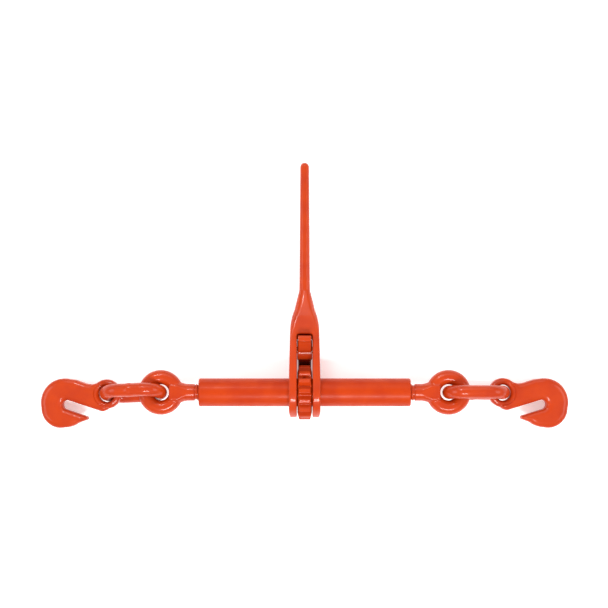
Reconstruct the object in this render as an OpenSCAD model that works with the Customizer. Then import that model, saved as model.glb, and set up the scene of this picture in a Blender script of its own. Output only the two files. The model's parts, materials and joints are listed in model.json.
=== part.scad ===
// Ratchet load binder with a joining link and a grab hook at each end.
// X runs along the barrel, the handle points to +Y and lies down on the ground
// plane Z = 0, with the ratchet gear, both links and both hooks resting on it.

/* [Barrel] */
// Length of the tubular barrel
barrel_len = 254; // [250:0.5:258]
// Outside diameter of the barrel
barrel_d = 33.6; // [33:0.1:34.2]
// Bore of the barrel behind its threaded ends
barrel_bore = 24.6; // [24.4:0.1:25.2]
// Chamfer round each barrel end
barrel_chamfer = 2; // [0.5:0.1:2.5]

/* [Ratchet gear] */
// Number of teeth
gear_teeth = 16; // [16:1:16]
// Radius over the tooth tips
gear_tip_r = 32.5; // [32.2:0.1:32.6]
// Radius at the tooth roots
gear_root_r = 27; // [26.6:0.1:27.1]
// Width of the gear along the barrel
gear_w = 17.5; // [16:0.1:18]
// Width left at the tooth tips after the side chamfers
gear_tip_w = 13; // [11:0.1:15]

/* [Handle] */
// Distance from the barrel axis to the handle's tip
handle_len = 279; // [260:0.5:290]
// Radius of the fork's round ends
fork_r = 30; // [29:0.1:30.5]
// Width over both fork arms at the barrel
fork_w = 37.7; // [37:0.1:39]
// Width of the window between the fork arms
window_w = 18.7; // [18.4:0.1:19.2]
// Height of the window's top above the barrel axis
window_top = 69; // [68.6:0.1:71]
// Rod diameter at the shoulder
rod_base_d = 13.3; // [12.5:0.1:14]
// Rod diameter at the tip
rod_tip_d = 10.9; // [10:0.1:12]

/* [Pawl] */
// Height of the pawl's pivot above the barrel axis
pawl_up = 51; // [51:0.1:51.2]
// Width of the pawl along the barrel
pawl_w = 15.4; // [14:0.1:15.8]
// Radius of the pawl's round hub
pawl_hub_r = 12; // [11.8:0.1:12]
// Angle of the pawl at rest, with its back tooth just clear of the gear
pawl_rest = -32.5; // [-33:0.1:-31]

/* [Screws] */
// Diameter over the threads
screw_d = 20; // [19.6:0.1:20]
// Distance from the middle of the barrel to the middle of each eye
eye_x = 172.5; // [170:0.5:178]
// Diameter of the hole in each eye
eye_hole_d = 19.2; // [19:0.1:20]
// Diameter of the round stock that forms the eye
eye_stock_d = 17.4; // [17:0.1:17.6]
// Length of each threaded end piece in the barrel
nut_len = 19.7; // [18:0.1:19.7]

/* [Links] */
// Wire diameter of the joining links
link_wire_d = 16; // [15.6:0.1:16]
// Outside length of a link
link_len = 82.2; // [80:0.1:86]
// Outside width of a link
link_w = 54; // [53:0.5:56]
// Roll of the left link about its length
left_roll = 13.5; // [0:0.5:15]
// Roll of the right link about its length
right_roll = 4.6; // [0:0.5:15]

/* [Hooks] */
// Thickness of the hook's body
hook_t = 16; // [14:0.5:17]
// Thickness of the hook round its eye
hook_eye_t = 13; // [12:0.5:13]
// Width of the slot that grips a chain link
slot_w = 11.6; // [11.4:0.1:12]
// Diameter of the round seat at the slot's end
slot_seat_d = 11.8; // [11.6:0.1:12.2]
// In-plane turn of the left hook about its eye
left_turn = 0; // [-5:0.1:5]
// In-plane turn of the right hook about its eye
right_turn = -1.5; // [-5:0.1:5]

/* [Hidden] */
$fn = 96;
paint = "orangered";
steel = "silver";

// Place of the barrel axis: the gear stands on the ground, and the middle of the
// whole outline from hook to handle tip is the origin.
axis_y = -115.7;
tooth_tip_w = 4.4;
axis_z = norm([gear_tip_r, tooth_tip_w / 2]);

// The handle leans down until its tip lies on the ground.
tip_r = rod_tip_d / 2;
tip_u = handle_len - tip_r;
handle_tilt = asin((axis_z - tip_r) / tip_u);

// Gear and its pin
tooth_step = 360 / gear_teeth;
tooth_root_w = 8.8;
gear_chamfer_r = 24;
pin_valley = 2.5 * tooth_step;
gear_pin_r = 2.5;
gear_pin_low = 13.6;
gear_pin_top = 26;

// Handle
fork_gap = 0.1;
fork_taper = 1.8;
yoke_w = 34.7;
rod_base_u = 121;
pawl_pin_r = 4;
hub_proud = 1.25;
pawl_pin_len = 36;

// Detent in the head of the handle
plunger_r = 3.9;
plunger_bore_r = 4;
plunger_gap = 0.05;
plunger_len = 16;
plunger_low = pawl_up + pawl_hub_r + plunger_gap;
plunger_high = plunger_low + plunger_len;
detent_end = 95;
// Ledge at the window's top that guides the plunger down to the pawl's hub
ledge_low = 64;
ledge_half = 5;
spring_wire_r = 0.5;
spring_coil_r = 3;
spring_turns = 6;
spring_steps = 16;
spring_sides = 6;

// Screws
neck_d = 20.4;
neck_end_d = 26;
neck_start = barrel_len / 2 + 0.6;
neck_flare = eye_x - 27;
stock_r = eye_stock_d / 2;
eye_ring_r = eye_hole_d / 2 + stock_r;
journal_r = 8;
groove_r = 7.2;
shank_end = 7;
ring_out = 4.5;
ring_in = 3.2;
screw_end = 2.2;
washer_r = 12;
washer_hole_r = 8.05;
washer_t = 2.4;
snap_r = 10.4;
nut_bore_r = 10.05;

// Links: the near wire runs through the eye, a small gap off its stock, and the
// far wire carries the hook.
wire_r = link_wire_d / 2;
bend_r = link_w / 2 - wire_r;
wire_span = link_len - link_wire_d;
link_gap = 1;
near_d = stock_r + wire_r + link_gap;
far_d = wire_span - near_d;
pivot_x = eye_x + eye_ring_r;

// Tilt at which a link, rolled about its length, rests its lower bend on the ground
function link_tilt(roll) =
    asin(((axis_z - wire_r) / cos(roll) - bend_r) / (far_d - bend_r));
function far_x(roll) = pivot_x + far_d * cos(link_tilt(roll));
function far_y(roll) = -far_d * sin(link_tilt(roll)) * sin(roll);
function far_z(roll) = axis_z - far_d * sin(link_tilt(roll)) * cos(roll);

// Hook outline about its eye, outwards along +X
hook_eye_r = 17.6;
hook_hole_r = 9.6;
hook_mouth_r = 5;
back_at = [52.3, -11.2];
back_r = 29.6;
heel_at = [57.2, -17.3];
heel_r = 24.1;
slot_end = [48.8, -13.4];
slot_slope = 17.5;
slot_reach = 60;
tip_at = [25.8, -29.3];
tip_round = 2.6;
hook_reach = back_at.x + back_r;
// Tilt at which the hook's back rests on the ground
function hook_tilt(roll) =
    atan2(hook_reach, hook_t / 2) - acos(far_z(roll) / norm([hook_reach, hook_t / 2]));

// Frames that the pieces are drawn in
module on_axis() {
    translate([0, axis_y, axis_z]) children();
}

module on_handle() {
    on_axis() rotate([-handle_tilt, 0, 0]) children();
}

module on_pawl_pin() {
    on_handle() translate([0, pawl_up, 0]) children();
}

// Left-hand pieces are right-hand ones reflected in the middle plane.
module left_side() {
    mirror([1, 0, 0]) children();
}

// A drawing in X and Y stood up across the barrel, centred on the middle plane
module across(width) {
    rotate([0, 90, 0]) translate([0, 0, -width / 2]) linear_extrude(width) children();
}

// A round bar along X between two places
module bar_x(r, from, to) {
    translate([from, 0, 0]) rotate([0, 90, 0]) cylinder(r = r, h = to - from);
}

// A turned shape about X, from its outline of [radius, place along X] points
module turned_x(outline) {
    rotate([0, 90, 0]) rotate_extrude() polygon(outline);
}

module barrel_tube() {
    half = barrel_len / 2;
    r = barrel_d / 2;
    bore_r = barrel_bore / 2;
    color(paint) on_axis() difference() {
        turned_x([
            [bore_r, -half], [r - barrel_chamfer, -half], [r, -half + barrel_chamfer],
            [r, half - barrel_chamfer], [r - barrel_chamfer, half], [bore_r, half]
        ]);
        pin_hole();
    }
}

// The radial hole that the gear's pin is driven into
module pin_hole() {
    rotate([pin_valley - handle_tilt, 0, 0]) rotate([-90, 0, 0])
        cylinder(r = gear_pin_r, h = gear_tip_r);
}

module thread_nut() {
    half = barrel_len / 2;
    on_axis() difference() {
        bar_x(barrel_bore / 2, half - nut_len, half);
        bar_x(nut_bore_r, half - nut_len - 1, half + 1);
    }
}

module left_thread_nut() {
    color(steel) left_side() thread_nut();
}

module right_thread_nut() {
    color(steel) thread_nut();
}

module gear_outline() {
    circle(r = gear_root_r);
    for (i = [0:gear_teeth - 1])
        rotate(i * tooth_step) polygon([
            [-tooth_root_w / 2, gear_root_r - 2], [tooth_root_w / 2, gear_root_r - 2],
            [tooth_root_w / 2, gear_root_r - 0.3], [tooth_tip_w / 2, gear_tip_r],
            [-tooth_tip_w / 2, gear_tip_r], [-tooth_root_w / 2, gear_root_r - 0.3]
        ]);
}

module ratchet_gear() {
    w = gear_w / 2;
    tip = gear_tip_w / 2;
    over_r = gear_tip_r + 0.5;
    color(paint) on_axis() difference() {
        intersection() {
            rotate([-handle_tilt, 0, 0]) across(gear_w) gear_outline();
            turned_x([
                [0, -w], [gear_chamfer_r, -w], [over_r, -tip],
                [over_r, tip], [gear_chamfer_r, w], [0, w]
            ]);
        }
        bar_x(barrel_d / 2, -gear_w, gear_w);
        pin_hole();
    }
}

module gear_pin() {
    color(paint) on_axis() rotate([pin_valley - handle_tilt, 0, 0]) rotate([-90, 0, 0])
        translate([0, 0, gear_pin_low]) cylinder(r = gear_pin_r, h = gear_pin_top - gear_pin_low);
}

// Handle seen from the front: fork, shoulders and the root of the rod
module handle_front() {
    polygon([
        [fork_w / 2 - fork_taper, -fork_r - 1], [fork_w / 2, -24.5], [fork_w / 2, 10],
        [18.3, 39], [yoke_w / 2 + 0.2, 70],
        [17.3, 77.5], [16.7, 83], [14.8, 92], [12.4, 98], [10.6, 106], [8.4, 115],
        [rod_base_d / 2, rod_base_u + 2],
        [-rod_base_d / 2, rod_base_u + 2], [-8.4, 115], [-10.6, 106], [-12.4, 98],
        [-14.8, 92], [-16.7, 83], [-17.3, 77.5], [-yoke_w / 2 - 0.2, 70], [-18.3, 39],
        [-fork_w / 2, 10], [-fork_w / 2, -24.5],
        [fork_taper - fork_w / 2, -fork_r - 1]
    ]);
}

// Handle seen along the barrel
module handle_side() {
    circle(r = fork_r);
    polygon([
        [29.2, 6], [24.5, 40], [20.5, 62], [17.8, 77], [14.6, 92], [11, 105], [8.6, 115],
        [rod_base_d / 2, rod_base_u + 2],
        [-rod_base_d / 2, rod_base_u + 2], [-8.6, 115], [-11, 105], [-14.6, 92],
        [-17.8, 77], [-20.5, 62], [-24.5, 40], [-29.2, 6]
    ]);
}

// Rounds the corners of the shoulders, more and more towards the rod
module shoulder_round() {
    rotate([-90, 0, 0]) rotate_extrude() polygon([
        [0, -40], [45, -40], [45, 40], [26.5, 64], [23, 76], [18, 90], [13.6, 100],
        [10.8, 108], [8.3, 117], [rod_base_d / 2, rod_base_u + 1], [0, rod_base_u + 1]
    ]);
}

// Tapered round rod with a round end
module rod() {
    rotate([-90, 0, 0]) rotate_extrude() intersection() {
        union() {
            polygon([
                [0, rod_base_u - 1], [rod_base_d / 2, rod_base_u - 1], [tip_r, tip_u], [0, tip_u]
            ]);
            translate([0, tip_u]) circle(r = tip_r);
        }
        translate([0, rod_base_u - 1]) square([rod_base_d, handle_len]);
    }
}

module handle() {
    color(paint) on_handle() difference() {
        union() {
            intersection() {
                translate([0, 0, -fork_r - 2]) linear_extrude(2 * fork_r + 4) handle_front();
                across(2 * fork_r) handle_side();
                shoulder_round();
            }
            rod();
        }
        difference() {
            translate([-window_w / 2, -fork_r - 2, -fork_r - 2])
                cube([window_w, window_top + fork_r + 2, 2 * fork_r + 4]);
            translate([-fork_w, ledge_low, -ledge_half]) cube([2 * fork_w, window_top, 2 * ledge_half]);
        }
        bar_x(barrel_d / 2 + fork_gap, -fork_w, fork_w);
        translate([0, pawl_up, 0]) bar_x(pawl_pin_r, -fork_w, fork_w);
        rotate([-90, 0, 0]) cylinder(r = plunger_bore_r, h = detent_end);
    }
}

// Outline of one half of the pawl, from the top of its hub round the tooth and back
pawl_half = [
    [0, 5.6], [9, 5.2], [18, 3.6], [27, 0.4], [31.4, -2], [33.6, -4.8], [33.4, -6.2],
    [31.2, -10.2], [29.6, -10], [26.8, -6.1], [23, -5.6], [17, -7.3], [11, -9.3], [4, -8.5]
];

module pawl() {
    last = len(pawl_half) - 1;
    other_half = [for (i = [last:-1:1]) [-pawl_half[i].x, pawl_half[i].y]];
    color(paint) on_pawl_pin() rotate([pawl_rest, 0, 0]) difference() {
        union() {
            bar_x(pawl_hub_r, -pawl_w / 2 - hub_proud, pawl_w / 2 + hub_proud);
            across(pawl_w) polygon(concat(pawl_half, other_half));
        }
        bar_x(pawl_pin_r + 0.08, -pawl_w, pawl_w);
    }
}

module pawl_pin() {
    color(steel) on_pawl_pin() bar_x(pawl_pin_r, -pawl_pin_len / 2, pawl_pin_len / 2);
}

module detent_plunger() {
    color(steel) on_handle() rotate([-90, 0, 0]) translate([0, 0, plunger_low]) rotate_extrude()
        polygon([
            [0, 0], [1.8, 0], [plunger_r - 0.6, 0.8], [plunger_r, 2], [plunger_r, plunger_len],
            [2, plunger_len], [2, plunger_len - 5], [0, plunger_len - 5]
        ]);
}

// Coil spring between the plunger's shoulder and the end of its bore
function spring_point(turn, side, length) =
    let (r = spring_coil_r + spring_wire_r * cos(side), a = 360 * turn)
    [r * cos(a), r * sin(a), length * turn / spring_turns + spring_wire_r * sin(side)];

module detent_spring() {
    low = plunger_high + spring_wire_r + 0.1;
    length = detent_end - low - spring_wire_r - 0.1;
    rings = spring_turns * spring_steps;
    n = spring_sides;
    points = [
        for (i = [0:rings], k = [0:n - 1]) spring_point(i / spring_steps, k * 360 / n, length)
    ];
    walls = [
        for (i = [0:rings - 1], k = [0:n - 1])
            [i * n + k, i * n + (k + 1) % n, (i + 1) * n + (k + 1) % n, (i + 1) * n + k]
    ];
    caps = [[for (k = [n - 1:-1:0]) k], [for (k = [0:n - 1]) rings * n + k]];
    color(steel) on_handle() rotate([-90, 0, 0]) translate([0, 0, low])
        polyhedron(points, concat(walls, caps));
}

// Eye screw on the +X side: threaded shank, journal for the stop, neck and eye
module eye_screw() {
    on_axis() difference() {
        union() {
            turned_x([
                [0, screw_end], [journal_r, screw_end], [journal_r, ring_in], [groove_r, ring_in],
                [groove_r, ring_out], [journal_r, ring_out], [journal_r, shank_end],
                [screw_d / 2, shank_end], [screw_d / 2, neck_start], [neck_d / 2, neck_start + 0.2],
                [neck_d / 2, neck_flare - 6], [0, neck_flare - 6]
            ]);
            intersection() {
                turned_x([
                    [0, neck_flare - 7], [neck_d / 2, neck_flare - 7], [neck_d / 2, neck_flare - 4],
                    [neck_end_d / 2, eye_x - eye_ring_r - 2], [neck_end_d / 2, eye_x - 10],
                    [0, eye_x - 10]
                ]);
                translate([neck_flare - 8, -20, -neck_d / 2]) cube([30, 40, neck_d]);
            }
            translate([eye_x, 0, 0]) rotate_extrude() translate([eye_ring_r, 0]) circle(r = stock_r);
        }
        translate([eye_x, 0, -20]) cylinder(r = eye_hole_d / 2, h = 40);
        eye_relief();
    }
}

// Opens both mouths of the eye's hole, so that a link can swing through it
module eye_relief() {
    for (side = [-1, 1])
        translate([eye_x, 0, side * neck_d / 2]) rotate([side * 90 - 90, 0, 0]) rotate_extrude()
            difference() {
                translate([0, -0.01]) square([eye_ring_r, neck_d / 2]);
                translate([eye_ring_r, neck_d / 2]) circle(r = stock_r);
            }
}

module left_eye_screw() {
    color(paint) left_side() eye_screw();
}

module right_eye_screw() {
    color(paint) eye_screw();
}

module stop_washer() {
    on_axis() difference() {
        bar_x(washer_r, shank_end - washer_t, shank_end);
        bar_x(washer_hole_r, 0, 2 * shank_end);
    }
}

module left_stop_washer() {
    color(steel) left_side() stop_washer();
}

module right_stop_washer() {
    color(steel) stop_washer();
}

module snap_ring() {
    on_axis() difference() {
        bar_x(snap_r, ring_in + 0.1, ring_out - 0.1);
        bar_x(groove_r, 0, shank_end);
        translate([0, -2, 0]) cube([shank_end, 4, 2 * snap_r]);
    }
}

module left_snap_ring() {
    color(steel) left_side() snap_ring();
}

module right_snap_ring() {
    color(steel) snap_ring();
}

// Half a bend of a link, standing in X and Z about the bend's middle
module link_bend() {
    rotate([90, 0, 0]) rotate_extrude(angle = 180, start = -90) translate([bend_r, 0]) circle(r = wire_r);
}

// Joining link on the +X side, rolled about its length and tilted to the ground
module link(roll) {
    leg = wire_span - 2 * bend_r;
    on_axis() translate([pivot_x, 0, 0]) rotate([-roll, 0, 0]) rotate([0, link_tilt(roll), 0]) {
        translate([far_d - bend_r, 0, 0]) link_bend();
        translate([far_d - bend_r - leg, 0, 0]) mirror([1, 0, 0]) link_bend();
        for (side = [-1, 1])
            translate([0, 0, side * bend_r]) bar_x(wire_r, far_d - bend_r - leg, far_d - bend_r);
    }
}

module left_link() {
    color(paint) left_side() link(left_roll);
}

module right_link() {
    color(paint) link(right_roll);
}

// Outline of a hook's body without its eye
module hook_body() {
    difference() {
        union() {
            translate(back_at) circle(r = back_r);
            translate(heel_at) circle(r = heel_r);
            polygon([
                [10, 13.5], [18.5, 11.4], [25, 12.2], [38.5, 16.8], [48, 18], back_at,
                slot_end, [8, -23], [5.6, -21.2], [3.4, -20.75], [0.8, -19.9], [-1.6, -18.4], [-3, -14]
            ]);
            polygon([[49, -40.4], [25.2, -31.5], [25.2, -25], slot_end]);
            translate(tip_at) circle(r = tip_round);
        }
        translate(slot_end) circle(d = slot_seat_d);
        translate(slot_end) rotate(slot_slope) translate([-slot_reach, -slot_w / 2])
            square([slot_reach, slot_w]);
        circle(r = hook_hole_r + hook_mouth_r + 0.3);
    }
}

// Round hole with rounded mouths through the hook's eye
module hook_hole() {
    t = hook_eye_t / 2;
    m = hook_mouth_r;
    flat = t - m + 0.3;
    rotate_extrude() difference() {
        translate([0, -t - 2]) square([hook_hole_r + m, 2 * t + 4]);
        translate([hook_hole_r + m, flat]) circle(r = m);
        translate([hook_hole_r + m, -flat]) circle(r = m);
        translate([hook_hole_r, -flat]) square([m + 1, 2 * flat]);
    }
}

// Grab hook on the +X side, on the far wire of a link with the given roll
module hook(roll, turn) {
    translate([far_x(roll), axis_y + far_y(roll), far_z(roll)])
        rotate([0, hook_tilt(roll), 0]) rotate(turn) difference() {
            union() {
                translate([0, 0, -hook_eye_t / 2]) cylinder(r = hook_eye_r, h = hook_eye_t);
                translate([0, 0, -hook_t / 2]) linear_extrude(hook_t) hook_body();
            }
            hook_hole();
        }
}

module left_hook() {
    color(paint) left_side() hook(left_roll, left_turn);
}

module right_hook() {
    color(paint) hook(right_roll, right_turn);
}

barrel_tube();
left_thread_nut();
right_thread_nut();
ratchet_gear();
gear_pin();
handle();
pawl();
pawl_pin();
detent_plunger();
detent_spring();
left_eye_screw();
right_eye_screw();
left_stop_washer();
right_stop_washer();
left_snap_ring();
right_snap_ring();
left_link();
right_link();
left_hook();
right_hook();
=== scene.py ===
"""Ratchet load binder with a link and a grab hook at each end, in gloss orange enamel."""

import json
import math

import bmesh
import bpy
from bpy.props import FloatProperty, FloatVectorProperty, PointerProperty
from bpy.types import Operator, Panel, PropertyGroup
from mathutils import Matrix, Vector
from mathutils.kdtree import KDTree


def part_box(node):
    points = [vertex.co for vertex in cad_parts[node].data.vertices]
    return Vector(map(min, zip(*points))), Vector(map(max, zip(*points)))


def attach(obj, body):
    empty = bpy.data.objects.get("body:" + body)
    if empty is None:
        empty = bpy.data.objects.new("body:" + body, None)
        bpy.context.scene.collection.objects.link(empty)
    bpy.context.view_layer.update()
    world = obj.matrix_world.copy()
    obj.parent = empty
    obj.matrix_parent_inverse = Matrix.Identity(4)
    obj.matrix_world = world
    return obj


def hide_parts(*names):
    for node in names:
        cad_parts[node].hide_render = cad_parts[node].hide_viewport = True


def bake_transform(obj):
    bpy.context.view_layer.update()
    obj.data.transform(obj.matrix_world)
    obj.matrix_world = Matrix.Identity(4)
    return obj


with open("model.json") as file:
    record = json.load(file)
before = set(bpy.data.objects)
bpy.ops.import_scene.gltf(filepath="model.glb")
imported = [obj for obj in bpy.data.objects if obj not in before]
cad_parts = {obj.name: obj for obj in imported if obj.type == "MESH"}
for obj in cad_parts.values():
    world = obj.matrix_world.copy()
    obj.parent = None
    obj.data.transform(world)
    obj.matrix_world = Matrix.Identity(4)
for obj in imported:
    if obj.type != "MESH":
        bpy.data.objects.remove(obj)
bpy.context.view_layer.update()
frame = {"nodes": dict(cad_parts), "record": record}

bl_info = {
    "name": "Load Binder",
    "version": (1, 0, 0),
    "blender": (4, 5, 0),
    "location": "3D View > Sidebar > Binder",
    "description": "Builds the looks of a ratchet load binder around its packed frame",
    "category": "Object",
}

MM = 0.001
SIDES = {"left": -1, "right": 1}
JOINTS = {joint["name"]: joint for joint in frame["record"]["behaviour"]["joints"]}
AXIS = Vector(JOINTS["handle_turn"]["pos_m"])
PAWL_PIN = Vector(JOINTS["pawl_rock"]["pos_m"])
UP_HANDLE = (PAWL_PIN - AXIS).normalized()


# ---------------------------------------------------------------- sizes and finishes


def length(name, description, default):
    """A length setting."""
    return FloatProperty(name=name, description=description, default=default, unit="LENGTH")


def power(name, description, default):
    """A light's power setting."""
    return FloatProperty(name=name, description=description, default=default, unit="POWER")


def share(name, description, default):
    """A setting from 0 to 1."""
    return FloatProperty(
        name=name, description=description, default=default, subtype="FACTOR", min=0, max=1
    )


def colour(name, description, default):
    """A colour setting."""
    return FloatVectorProperty(
        name=name, description=description, default=default, subtype="COLOR"
    )


class BinderSizes(PropertyGroup):
    """Sizes that the looks add to the frame's own"""

    thread_pitch: length("Thread pitch", "Lead of the screw threads", 4 * MM)
    thread_depth: length("Thread depth", "Height of the threads", 1.3 * MM)
    thread_show: length("Thread shown", "Thread that stands out of the wound-in barrel", 4.5 * MM)
    weld_rise: length("Weld rise", "Height of the weld bead on a link", 0.55 * MM)
    forging_grain: length("Forging mesh", "Mesh size of the forged pieces", 0.52 * MM)
    handle_grain: length("Handle mesh", "Mesh size of the handle", 0.75 * MM)
    gear_grain: length("Gear mesh", "Mesh size of the gear and pawl", 0.45 * MM)
    crown_width: length("Crown width", "How far in from its walls a hook is rounded", 8 * MM)
    crown_depth: length("Crown depth", "How far a hook's face drops at its walls", 5 * MM)


class BinderPaint(PropertyGroup):
    """Colours and gloss of the enamel and the bare steel, and a painted shade for the enamel's
    corners
    """

    orange: colour("Orange", "Enamel where it lies thick", (0.51, 0.044, 0.004))
    red: colour("Red", "Enamel where it runs thin", (0.40, 0.025, 0.004))
    # Painted shade: a dark colour laid into the enamel's corners and roots, where shade falls.
    crevice_shade: colour("Crevice", "Enamel in corners and roots", (0.17, 0.009, 0.005))
    worn: colour("Worn edge", "Enamel where an edge has worn", (0.72, 0.12, 0.05))
    steel: colour("Steel", "Bare turned steel", (0.45, 0.44, 0.43))
    roughness: share("Roughness", "Roughness of the enamel", 0.36)


class BinderStage(PropertyGroup):
    """Floor, lights and camera"""

    floor_tone: share("Floor tone", "Lightness of the floor", 0.96)
    floor_glow: share("Floor glow", "Light that the floor gives of its own", 0.35)
    sky: share("Sky", "Strength of the even light", 0.42)
    key_power: power("Key light", "Power of the main light", 30)
    fill_power: power("Fill lights", "Power of each light on the other sides", 13)
    view_width: length("View width", "Width that the picture takes in", 0.7296)
    view_distance: length("Camera height", "Camera's height over the barrel", 2.4)


# ---------------------------------------------------------------- mesh tools


def new_piece(name, bm, body, replaced, slot):
    """Makes a bmesh a smooth piece in its slot's finish, which stands for CAD nodes.

    It rides on a body, if one is given.
    """
    mesh = bpy.data.meshes.new(name)
    bm.to_mesh(mesh)
    bm.free()
    for polygon in mesh.polygons:
        polygon.use_smooth = True
    piece = bpy.data.objects.new(name, mesh)
    bpy.context.scene.collection.objects.link(piece)
    mesh.materials.append(finish(slot))
    if body:
        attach(piece, body)
    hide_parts(*replaced)
    return piece


def sharpen(piece, degrees):
    """Marks the edges that turn by more than an angle, so that they stay crisp."""
    piece.data.set_sharp_from_angle(angle=math.radians(degrees))


def only(kind, items):
    """The items of one bmesh kind."""
    return [item for item in items if isinstance(item, kind)]


def circle_angles(count):
    """Even angles round a circle."""
    return [index * math.tau / count for index in range(count)]


def closed_loop(bm, points):
    """Vertices and edges of a closed loop through points."""
    verts = [bm.verts.new(point) for point in points]
    return verts + [bm.edges.new(pair) for pair in zip(verts, verts[1:] + verts[:1])]


def cad_copy(node):
    """The merged mesh of a CAD node, as a bmesh."""
    bm = bmesh.new()
    bm.from_mesh(frame["nodes"][node].data)
    bmesh.ops.remove_doubles(bm, verts=bm.verts, dist=0.002 * MM)
    return bm


def keep_beyond(bm, place, normal):
    """Cuts a closed mesh at a plane, keeps the side of the normal and closes the cut."""
    geometry = bm.verts[:] + bm.edges[:] + bm.faces[:]
    cut = bmesh.ops.bisect_plane(
        bm, geom=geometry, dist=0.0001 * MM, plane_co=place, plane_no=normal, clear_inner=True
    )
    bmesh.ops.holes_fill(bm, edges=only(bmesh.types.BMEdge, cut["geom_cut"]))
    return bm


def forged(bm, grain, passes):
    """Rounds every edge of a closed mesh as forging does: a fine even mesh, then smoothed."""
    mesh = bpy.data.meshes.new("forging")
    bm.to_mesh(mesh)
    bm.free()
    holder = bpy.data.objects.new("forging", mesh)
    bpy.context.scene.collection.objects.link(holder)
    remesh = holder.modifiers.new("even", "REMESH")
    remesh.mode = "VOXEL"
    remesh.voxel_size = grain
    bpy.context.view_layer.update()
    depsgraph = bpy.context.evaluated_depsgraph_get()
    even = bpy.data.meshes.new_from_object(holder.evaluated_get(depsgraph))
    bpy.data.objects.remove(holder)
    result = bmesh.new()
    result.from_mesh(even)
    for _ in range(passes):
        bmesh.ops.smooth_vert(
            result,
            verts=result.verts,
            factor=0.5,
            use_axis_x=True,
            use_axis_y=True,
            use_axis_z=True,
        )
    bpy.data.meshes.remove(even)
    return result


def turned(outline, place, axis, steps):
    """A closed turned solid from an outline of (distance along the axis, radius) points."""
    bm = bmesh.new()
    axis = Vector(axis).normalized()
    side = axis.orthogonal().normalized()
    loop = closed_loop(bm, [place + axis * along + side * radius for along, radius in outline])
    bmesh.ops.spin(
        bm, geom=loop, cent=place, axis=axis, angle=math.tau, steps=steps, use_merge=True
    )
    bmesh.ops.remove_doubles(bm, verts=bm.verts, dist=0.001 * MM)
    bmesh.ops.dissolve_degenerate(bm, edges=bm.edges, dist=0.001 * MM)
    bmesh.ops.recalc_face_normals(bm, faces=bm.faces)
    return bm


def coil(bm, section, centre, axis, pitch, turns, steps):
    """Sweeps a closed section round an axis while it moves along it, right-handed."""
    face = bm.faces.new([bm.verts.new(point) for point in section])
    bmesh.ops.spin(
        bm,
        geom=[face] + face.verts[:] + face.edges[:],
        cent=centre,
        axis=axis,
        dvec=Vector(axis).normalized() * pitch / steps,
        angle=math.tau * turns,
        steps=int(turns * steps),
        use_duplicate=False,
    )
    bmesh.ops.recalc_face_normals(bm, faces=bm.faces)


# ---------------------------------------------------------------- materials


def node_tree(name):
    """A fresh material, its node tree and its shader."""
    material = bpy.data.materials.new(name)
    material.use_nodes = True
    tree = material.node_tree
    shader = tree.nodes["Principled BSDF"]
    return material, tree, shader


def add(tree, kind, inputs=None, **settings):
    """Adds a node, sets its properties, and sets or links its inputs."""
    node = tree.nodes.new(kind)
    for key, value in settings.items():
        setattr(node, key, value)
    for key, value in (inputs or {}).items():
        if isinstance(value, bpy.types.NodeSocket):
            tree.links.new(value, node.inputs[key])
        else:
            node.inputs[key].default_value = value
    return node


def noise(tree, coords, scale, detail, rough):
    """Noise in object space; scale is in features per metre."""
    inputs = {"Vector": coords, "Scale": scale, "Detail": detail, "Roughness": rough}
    return add(tree, "ShaderNodeTexNoise", inputs).outputs["Fac"]


def remap(tree, value, low, high, to_low, to_high):
    """Stretches a value from one range to another, and holds it there."""
    inputs = {
        "Value": value,
        "From Min": low,
        "From Max": high,
        "To Min": to_low,
        "To Max": to_high,
    }
    return add(tree, "ShaderNodeMapRange", inputs).outputs["Result"]


def mix_colour(tree, factor, first, second):
    """Mixes two colours."""
    node = add(tree, "ShaderNodeMix", data_type="RGBA")
    for index, value in ((0, factor), (6, first), (7, second)):
        if isinstance(value, bpy.types.NodeSocket):
            tree.links.new(value, node.inputs[index])
        else:
            node.inputs[index].default_value = value
    return node.outputs[2]


def rgba(tone):
    """A colour with full opacity."""
    return (*tone, 1.0)


def grey(tone):
    """A grey with full opacity."""
    return rgba((tone, tone, tone))


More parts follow.
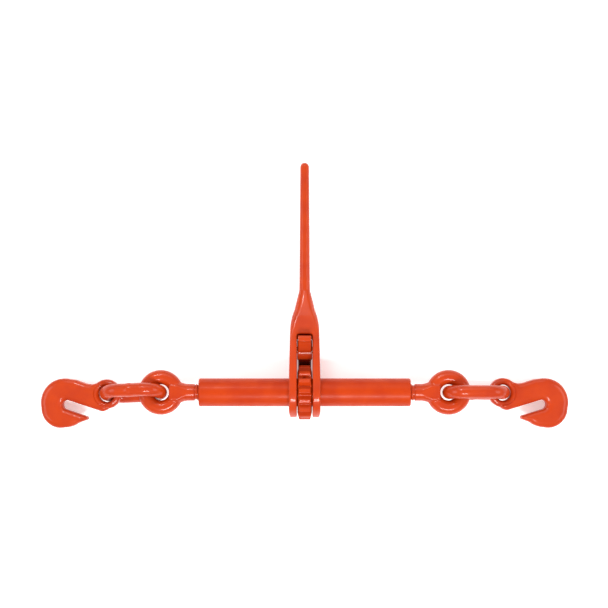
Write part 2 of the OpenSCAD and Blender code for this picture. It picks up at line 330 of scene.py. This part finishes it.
def enamel(name, lumps, peel, wear, coat):
    """Gloss enamel: colour pools, worn edges, painted shade in corners, orange peel on lumpy metal.
    """
    paint = bpy.context.scene.binder_paint
    orange, red = rgba(paint.orange), rgba(paint.red)
    material, tree, shader = node_tree(name)
    coords = add(tree, "ShaderNodeTexCoord").outputs["Object"]
    pools = noise(tree, coords, 45, 2, 0.45)
    streaks = noise(tree, coords, 260, 4, 0.6)
    point = add(tree, "ShaderNodeNewGeometry").outputs["Pointiness"]
    base = mix_colour(tree, remap(tree, pools, 0.35, 0.68, 0, 0.55), orange, red)
    base = mix_colour(tree, remap(tree, streaks, 0.55, 0.75, 0, 0.22), base, red)
    # Painted shade: hollows, corners and roots (low pointiness) are darkened towards a shade
    # colour, as shade would darken them.
    corners = remap(tree, point, 0.49, 0.42, 0, 0.75)
    base = mix_colour(tree, corners, base, rgba(paint.crevice_shade))
    edges = remap(tree, point, 0.54, 0.62, 0, wear)
    chips = add(tree, "ShaderNodeMath", {0: edges, 1: streaks}, operation="MULTIPLY").outputs[0]
    base = mix_colour(tree, chips, base, rgba(paint.worn))
    tree.links.new(base, shader.inputs["Base Color"])
    gloss = noise(tree, coords, 90, 3, 0.55)
    rough = remap(tree, gloss, 0.3, 0.7, paint.roughness - 0.06, paint.roughness + 0.1)
    tree.links.new(rough, shader.inputs["Roughness"])
    fixed = {
        "IOR": 1.48,
        "Specular IOR Level": 0.12,
        "Coat Weight": coat,
        "Coat Roughness": 0.1,
    }
    for key, value in fixed.items():
        shader.inputs[key].default_value = value
    skin = add(
        tree,
        "ShaderNodeBump",
        {"Height": noise(tree, coords, 1100, 2, 0.5), "Strength": peel, "Distance": 0.12 * MM},
    )
    body = add(
        tree,
        "ShaderNodeBump",
        {
            "Height": noise(tree, coords, 150, 3, 0.55),
            "Strength": lumps,
            "Distance": 0.8 * MM,
            "Normal": skin.outputs["Normal"],
        },
    )
    tree.links.new(body.outputs["Normal"], shader.inputs["Normal"])
    return material


def bare_steel(name, dark=1.0, oiled=0.3):
    """Turned steel with fine tool marks and a little oil."""
    paint = bpy.context.scene.binder_paint
    material, tree, shader = node_tree(name)
    coords = add(tree, "ShaderNodeTexCoord").outputs["Object"]
    squeezed = add(tree, "ShaderNodeMapping", {"Vector": coords, "Scale": (40, 1, 1)})
    marks = noise(tree, squeezed.outputs["Vector"], 160, 3, 0.6)
    stains = noise(tree, coords, 120, 3, 0.5)
    light = tuple(channel * dark for channel in paint.steel)
    deep = tuple(channel * 0.55 * dark for channel in paint.steel)
    base = mix_colour(tree, remap(tree, stains, 0.35, 0.7, 0, 0.8), rgba(light), rgba(deep))
    tree.links.new(base, shader.inputs["Base Color"])
    rough = remap(tree, marks, 0.3, 0.7, oiled - 0.08, oiled + 0.15)
    tree.links.new(rough, shader.inputs["Roughness"])
    shader.inputs["Metallic"].default_value = 1.0
    bump = add(tree, "ShaderNodeBump", {"Height": marks, "Strength": 0.25, "Distance": 0.05 * MM})
    tree.links.new(bump.outputs["Normal"], shader.inputs["Normal"])
    return material


def floor_paper(name):
    """Plain pale studio paper, with a little glow of its own."""
    stage = bpy.context.scene.binder_stage
    tone = stage.floor_tone
    fibre_tone = rgba((tone * 0.985, tone * 0.985, tone * 0.98))
    material, tree, shader = node_tree(name)
    coords = add(tree, "ShaderNodeTexCoord").outputs["Object"]
    fibres = noise(tree, coords, 900, 3, 0.6)
    base = mix_colour(tree, remap(tree, fibres, 0.3, 0.7, 0, 1), grey(tone), fibre_tone)
    tree.links.new(base, shader.inputs["Base Color"])
    fixed = {
        "Roughness": 0.9,
        "Specular IOR Level": 0.1,
        "Emission Color": grey(1),
        "Emission Strength": stage.floor_glow,
    }
    for key, value in fixed.items():
        shader.inputs[key].default_value = value
    return material


FINISHES = {
    "tube_paint": lambda: enamel("tube_enamel", lumps=0.03, peel=0.05, wear=0.25, coat=0.02),
    "forging_paint": lambda: enamel("forging_enamel", lumps=0.16, peel=0.07, wear=0.5, coat=0.35),
    "gear_paint": lambda: enamel("gear_enamel", lumps=0.07, peel=0.06, wear=0.6, coat=0.1),
    "chain_paint": lambda: enamel("chain_enamel", lumps=0.10, peel=0.07, wear=0.4, coat=0.4),
    "plain_steel": lambda: bare_steel("turned_steel"),
    "spring_steel": lambda: bare_steel("spring_wire", dark=0.6, oiled=0.35),
}


def finish(slot):
    """The material of a record slot, made once."""
    name = f"finish_{slot}"
    if name not in bpy.data.materials:
        FINISHES[slot]().name = name
    return bpy.data.materials[name]


def refinish(node, slot):
    """Gives a CAD node that stays as it is the material of a slot."""
    data = frame["nodes"][node].data
    data.materials.clear()
    data.materials.append(finish(slot))


# ---------------------------------------------------------------- pieces


class BINDER_OT_barrel(Operator):
    """Tube of the barrel with rounded ends, and its threaded ends and gear pin"""

    bl_idname = "binder.barrel"
    bl_label = "Barrel"

    def execute(self, context):
        low, high = (Vector(corner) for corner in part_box("barrel_tube"))
        half = (high.x - low.x) / 2
        radius = (high.z - low.z) / 2
        nut_low, nut_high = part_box("right_thread_nut")
        bore = (nut_high[2] - nut_low[2]) / 2
        corner = 2.0 * MM
        outline = [(-half, bore), (-half, radius - corner)]
        outline += rounded(half - corner, radius - corner, corner, -1)
        outline += rounded(half - corner, radius - corner, corner, 1)
        outline += [(half, bore)]
        bm = turned(outline, AXIS, (1, 0, 0), steps=128)
        piece = new_piece("barrel_shell", bm, "barrel", ["barrel_tube"], "tube_paint")
        sharpen(piece, degrees=50)
        for node in ("left_thread_nut", "right_thread_nut"):
            refinish(node, "tube_paint")
        refinish("gear_pin", "gear_paint")
        return {"FINISHED"}


def rounded(along, radius, corner, end):
    """Points round a corner at one end of a turned outline, from (along, radius)."""
    steps = 5
    turn = [index / steps * math.pi / 2 for index in range(steps + 1)]
    points = [(end * (along + corner * math.cos(a)), radius + corner * math.sin(a)) for a in turn]
    return points if end < 0 else points[::-1]


class BINDER_OT_gear(Operator):
    """Ratchet gear with its corners rounded by casting and paint"""

    bl_idname = "binder.gear"
    bl_label = "Ratchet gear"

    def execute(self, context):
        bm = forged(cad_copy("ratchet_gear"), context.scene.binder_sizes.gear_grain, passes=3)
        new_piece("gear_casting", bm, "barrel", ["ratchet_gear"], "gear_paint")
        return {"FINISHED"}


class BINDER_OT_handle(Operator):
    """Forged handle, its pawl and the pawl's pin"""

    bl_idname = "binder.handle"
    bl_label = "Handle and pawl"

    def execute(self, context):
        sizes = context.scene.binder_sizes
        bm = forged(cad_copy("handle"), sizes.handle_grain, passes=10)
        new_piece("handle_forging", bm, "handle", ["handle"], "forging_paint")
        bm = forged(cad_copy("pawl"), sizes.gear_grain, passes=5)
        new_piece("pawl_forging", bm, "pawl", ["pawl"], "forging_paint")
        refinish("pawl_pin", "plain_steel")
        return {"FINISHED"}


class BINDER_OT_detent(Operator):
    """Plunger and coil spring in the head of the handle"""

    bl_idname = "binder.detent"
    bl_label = "Detent"

    def execute(self, context):
        refinish("detent_plunger", "plain_steel")
        low, high = (Vector(corner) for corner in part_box("detent_spring"))
        wire = 0.5 * MM
        radius = (high.x - low.x) / 2 - wire
        turns = 6
        tilted = 2 * (radius + wire) * abs(UP_HANDLE.z)
        reach = (high.y - low.y - tilted) / UP_HANDLE.y - 2 * wire
        centre = (low + high) / 2 - UP_HANDLE * reach / 2
        across = Vector((1, 0, 0))
        section = [
            centre + across * (radius + wire * math.cos(a)) + UP_HANDLE * wire * math.sin(a)
            for a in circle_angles(12)
        ]
        bm = bmesh.new()
        coil(bm, section, centre, UP_HANDLE, reach / turns, turns, steps=32)
        spring = new_piece("spring_coil", bm, None, ["detent_spring"], "spring_steel")
        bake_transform(spring)
        return {"FINISHED"}


class BINDER_OT_screws(Operator):
    """Eye screws: forged eyes, cut threads, and the stops at their inner ends"""

    bl_idname = "binder.screws"
    bl_label = "Eye screws"

    def execute(self, context):
        for side, sign in SIDES.items():
            self.eye(context, side, sign)
            self.thread(context, side, sign)
            refinish(f"{side}_stop_washer", "plain_steel")
            refinish(f"{side}_snap_ring", "spring_steel")
        return {"FINISHED"}

    def shoulder(self, context, sign):
        """Where the thread ends and the neck begins."""
        low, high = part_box("barrel_tube")
        along = (high[0] - low[0]) / 2 + context.scene.binder_sizes.thread_show
        return AXIS + Vector((sign * along, 0, 0))

    def eye(self, context, side, sign):
        """The eye and its neck, outside the barrel."""
        plain = cad_copy(f"{side}_eye_screw")
        bm = keep_beyond(plain, self.shoulder(context, sign), Vector((sign, 0, 0)))
        bm = forged(bm, context.scene.binder_sizes.forging_grain, passes=16)
        replaced = [f"{side}_eye_screw"]
        new_piece(f"{side}_eye_forging", bm, f"{side}_screw", replaced, "forging_paint")

    def thread(self, context, side, sign):
        """The screwed shank: a core with one right-handed ridge wound round it."""
        out, up = Vector((sign, 0, 0)), Vector((0, 0, 1))
        journal_start, start = 2.2 * MM, 7 * MM
        journal, crest = 8 * MM, 10 * MM
        overlap, sunk = 1 * MM, 0.4 * MM
        root = crest - context.scene.binder_sizes.thread_depth
        end = (self.shoulder(context, sign) - AXIS).length + overlap
        outline = [
            (journal_start, 0),
            (journal_start, journal),
            (start, journal),
            (start, root),
            (end, root),
            (end, 0),
        ]
        core = turned(outline, AXIS, out, steps=64)
        pitch = context.scene.binder_sizes.thread_pitch
        foot, top = pitch * 0.40, pitch * 0.10
        ridge = [(-foot, root - sunk), (-foot, root), (-top, crest)]
        ridge += [(-along, radius) for along, radius in reversed(ridge)]
        centre = AXIS + out * (start + foot)
        section = [centre + out * along + up * radius for along, radius in ridge]
        steps = 40
        turns = math.floor((end - start - 2 * foot) / pitch * steps) / steps
        coil(core, section, AXIS, out, pitch, turns, steps)
        replaced = [f"{side}_eye_screw"]
        piece = new_piece(f"{side}_thread", core, f"{side}_screw", replaced, "forging_paint")
        sharpen(piece, degrees=35)


class BINDER_OT_links(Operator):
    """Joining links: round wire bent to a long ring, with a weld bead"""

    bl_idname = "binder.links"
    bl_label = "Links"

    def execute(self, context):
        for side, sign in SIDES.items():
            self.link(context, side, sign)
        return {"FINISHED"}

    def link(self, context, side, sign):
        """One link, in the plane of its swing."""
        swing = JOINTS[f"{side}_link_swing"]
        near_bend = Vector(swing["pos_m"])
        normal = Vector(swing["axis"]).normalized()
        far = Vector(JOINTS[f"{side}_hook_swing"]["pos_m"])
        out = (far - near_bend).normalized()
        rise = out.cross(normal).normalized()
        wire, bend = 8 * MM, 19 * MM
        far_bend = far - out * bend
        leg = (far_bend - near_bend).length
        bm = bmesh.new()
        ring = [
            near_bend + rise * (bend + wire * math.cos(a)) + normal * wire * math.sin(a)
            for a in circle_angles(40)
        ]
        moved = self.straight(bm, closed_loop(bm, ring), out * leg, count=14)
        moved = self.turn(bm, moved, far_bend, normal, out, rise)
        bead_from = len(bm.verts)
        moved = self.straight(bm, moved, -out * leg, count=28)
        bead_to = len(bm.verts)
        self.turn(bm, moved, near_bend, normal, -out, -rise)
        bm.verts.ensure_lookup_table()
        middle = (near_bend + far_bend) / 2 - rise * bend
        rise_of_bead = context.scene.binder_sizes.weld_rise
        self.weld(bm.verts[bead_from:bead_to], middle, out, rise_of_bead)
        bmesh.ops.remove_doubles(bm, verts=bm.verts, dist=0.01 * MM)
        bmesh.ops.recalc_face_normals(bm, faces=bm.faces)
        new_piece(f"{side}_link_wire", bm, f"{side}_link", [f"{side}_link"], "chain_paint")

    def straight(self, bm, geometry, step, count):
        """Draws a ring out along a leg."""
        for _ in range(count):
            edges = only(bmesh.types.BMEdge, geometry)
            made = bmesh.ops.extrude_edge_only(bm, edges=edges)["geom"]
            verts = only(bmesh.types.BMVert, made)
            bmesh.ops.translate(bm, verts=verts, vec=step / count)
            edges = only(bmesh.types.BMEdge, made)
            geometry = verts + [edge for edge in edges if all(end in verts for end in edge.verts)]
        return geometry

    def turn(self, bm, geometry, centre, normal, out, rise):
        """Bends a ring half a turn round the link's end, from the rise side over the out side."""
        angle = math.pi if rise.cross(out).dot(normal) > 0 else -math.pi
        made = bmesh.ops.spin(bm, geom=geometry, cent=centre, axis=normal, angle=angle, steps=36)
        return made["geom_last"]

    def weld(self, verts, middle, out, height):
        """Swells a leg at its middle into a dressed weld bead."""
        width = 2.6 * MM
        for vert in verts:
            along = (vert.co - middle).dot(out)
            radial = vert.co - middle - out * along
            swell = math.exp(-((along / width) ** 2))
            vert.co += radial.normalized() * height * swell


def wall_tree(bm, place, normal, clear):
    """Points along the outline of a flat forging, laid into its plane.

    An outline edge joins a wall to a flat face. Points nearer the place than clear, which are
    the rim of the round hole there, are left out.
    """
    shortest, spacing = 0.01 * MM, 0.4 * MM
    wall, flat = 0.2, 0.98
    points = []
    for edge in bm.edges:
        if len(edge.link_faces) != 2 or edge.calc_length() < shortest:
            continue
        tilts = [abs(face.normal.dot(normal)) for face in edge.link_faces]
        if min(tilts) > wall or max(tilts) < flat:
            continue
        first, last = (vert.co for vert in edge.verts)
        count = max(1, int((last - first).length / spacing))
        for index in range(count + 1):
            point = first.lerp(last, index / count) - place
            point -= normal * point.dot(normal)
            if point.length > clear:
                points.append(point)
    tree = KDTree(len(points))
    for index, point in enumerate(points):
        tree.insert(point, index)
    tree.balance()
    return tree


def crown(bm, tree, place, normal, half, width, depth):
    """Rounds a flat forging over: it keeps its outline, and gets thinner towards its walls."""
    for vert in bm.verts:
        point = vert.co - place
        height = point.dot(normal)
        inside = min(tree.find(point - normal * height)[2] / width, 1)
        drop = depth * (1 - math.sqrt(1 - (1 - inside) ** 2))
        vert.co -= normal * height * drop / half


class BINDER_OT_hooks(Operator):
    """Forged grab hooks, rounded over from the middle of each face to its edges"""

    bl_idname = "binder.hooks"
    bl_label = "Grab hooks"

    def execute(self, context):
        sizes = context.scene.binder_sizes
        for side in SIDES:
            swing = JOINTS[f"{side}_hook_swing"]
            place, normal = Vector(swing["pos_m"]), Vector(swing["axis"]).normalized()
            plain = cad_copy(f"{side}_hook")
            half = max(abs((vert.co - place).dot(normal)) for vert in plain.verts)
            tree = wall_tree(plain, place, normal, clear=16.5 * MM)
            bm = forged(plain, sizes.forging_grain, passes=8)
            crown(bm, tree, place, normal, half, sizes.crown_width, sizes.crown_depth)
            body = f"{side}_hook"
            new_piece(f"{body}_forging", bm, body, [body], "forging_paint")
        return {"FINISHED"}


# ---------------------------------------------------------------- stage


def area_light(name, place, target, size, energy):
    """A soft rectangular light that faces a point."""
    data = bpy.data.lights.new(name, "AREA")
    data.shape = "RECTANGLE"
    data.size, data.size_y = size
    data.energy = energy
    lamp = bpy.data.objects.new(name, data)
    lamp.location = place
    lamp.rotation_euler = (Vector(target) - Vector(place)).to_track_quat("-Z", "Y").to_euler()
    bpy.context.scene.collection.objects.link(lamp)


class BINDER_OT_stage(Operator):
    """Pale floor, soft lights, and a camera straight above"""

    bl_idname = "binder.stage"
    bl_label = "Stage"

    def execute(self, context):
        stage = context.scene.binder_stage
        bm = bmesh.new()
        bmesh.ops.create_grid(bm, x_segments=2, y_segments=2, size=4)
        below = 0.3 * MM
        bmesh.ops.translate(bm, verts=bm.verts, vec=(0, 0, -below))
        mesh = bpy.data.meshes.new("floor")
        bm.to_mesh(mesh)
        bm.free()
        mesh.materials.append(floor_paper("studio_paper"))
        floor = bpy.data.objects.new("floor", mesh)
        context.scene.collection.objects.link(floor)
        self.lights(context, stage)
        self.camera(context, stage)
        return {"FINISHED"}

    def lights(self, context, stage):
        """A small key and a spark for highlights, broad lights on the other sides, and a sky."""
        key, fill = stage.key_power, stage.fill_power
        lamps = (
            ("key", (0.15, -1.2, 1.7), (0.9, 0.35), key),
            ("back", (0, 1.6, 1.3), (2.4, 1.1), fill),
            ("spark", (-0.5, 1.3, 1.6), (0.6, 0.2), key * 0.35),
            ("left", (-1.8, -0.1, 1.3), (1.4, 0.9), fill),
            ("right", (1.8, -0.1, 1.3), (1.4, 0.9), fill),
        )
        for name, place, size, energy in lamps:
            area_light(name, place, (0, -0.05, 0), size, energy)
        world = bpy.data.worlds.new("sky")
        world.use_nodes = True
        background = world.node_tree.nodes["Background"]
        background.inputs["Color"].default_value = grey(1)
        background.inputs["Strength"].default_value = stage.sky
        context.scene.world = world
        context.scene.view_settings.view_transform = "Standard"

    def camera(self, context, stage):
        """Straight above the floor, with the handle's tip towards the top of the picture."""
        data = bpy.data.cameras.new("camera")
        camera = bpy.data.objects.new("camera", data)
        data.sensor_width = 36
        data.lens = data.sensor_width * stage.view_distance / stage.view_width
        across, up = -0.8 * MM, 106 * MM
        camera.location = AXIS + Vector((across, up, stage.view_distance))
        context.scene.collection.objects.link(camera)
        context.scene.camera = camera


# ---------------------------------------------------------------- panel and start


OPERATORS = (
    BINDER_OT_barrel,
    BINDER_OT_gear,
    BINDER_OT_handle,
    BINDER_OT_detent,
    BINDER_OT_screws,
    BINDER_OT_links,
    BINDER_OT_hooks,
    BINDER_OT_stage,
)


class BINDER_PT_panel(Panel):
    """Lists the pieces of the load binder"""

    bl_label = "Load Binder"
    bl_idname = "BINDER_PT_panel"
    bl_space_type = "VIEW_3D"
    bl_region_type = "UI"
    bl_category = "Binder"

    def draw(self, context):
        for group in SETTINGS:
            settings = getattr(context.scene, group)
            for name in settings.bl_rna.properties.keys():
                if name not in ("rna_type", "name"):
                    self.layout.prop(settings, name)
        for operator in OPERATORS:
            self.layout.operator(operator.bl_idname)


CLASSES = (BinderSizes, BinderPaint, BinderStage, *OPERATORS, BINDER_PT_panel)
SETTINGS = {
    "binder_sizes": BinderSizes,
    "binder_paint": BinderPaint,
    "binder_stage": BinderStage,
}


def register():
    """Adds the classes and the settings to Blender."""
    for item in CLASSES:
        bpy.utils.register_class(item)
    for name, group in SETTINGS.items():
        setattr(bpy.types.Scene, name, PointerProperty(type=group))


def unregister():
    """Takes the settings and the classes away again."""
    for name in SETTINGS:
        delattr(bpy.types.Scene, name)
    for item in reversed(CLASSES):
        bpy.utils.unregister_class(item)


def main():
    """Builds every piece and the stage."""
    register()
    for operator in OPERATORS:
        group, name = operator.bl_idname.split(".")
        getattr(getattr(bpy.ops, group), name)()


if __name__ == "__main__":
    main()
